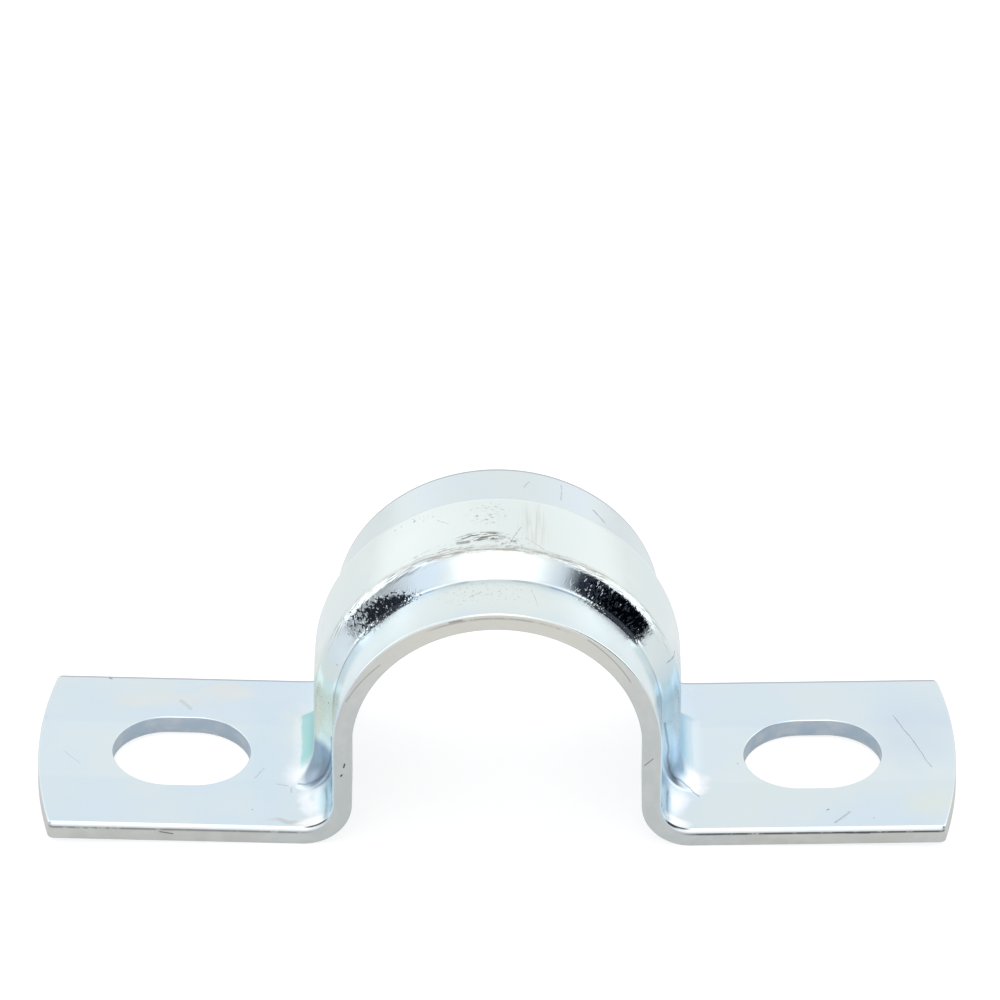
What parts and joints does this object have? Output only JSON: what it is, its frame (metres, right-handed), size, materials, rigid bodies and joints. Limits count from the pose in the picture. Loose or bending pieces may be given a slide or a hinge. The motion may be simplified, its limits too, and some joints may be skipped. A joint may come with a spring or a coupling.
{
  "type": "conduit strap",
  "caption": "Strap of pressed sheet steel with a stiffening bead over its arch and a slotted foot on each side, which holds round conduit against a wall.",
  "frame": {"origin": "middle of the feet's underside, in the plane of the wall", "axes": "+X along the strap from slot to slot, +Y along the conduit, +Z away from the wall"},
  "size_m": [0.0866, 0.0236, 0.0283],
  "materials": {
    "zinc_plated_steel": "bright zinc plate with a pale blue tint"
  },
  "bodies": {
    "root": {"strap": "zinc_plated_steel"}
  },
  "joints": []
}
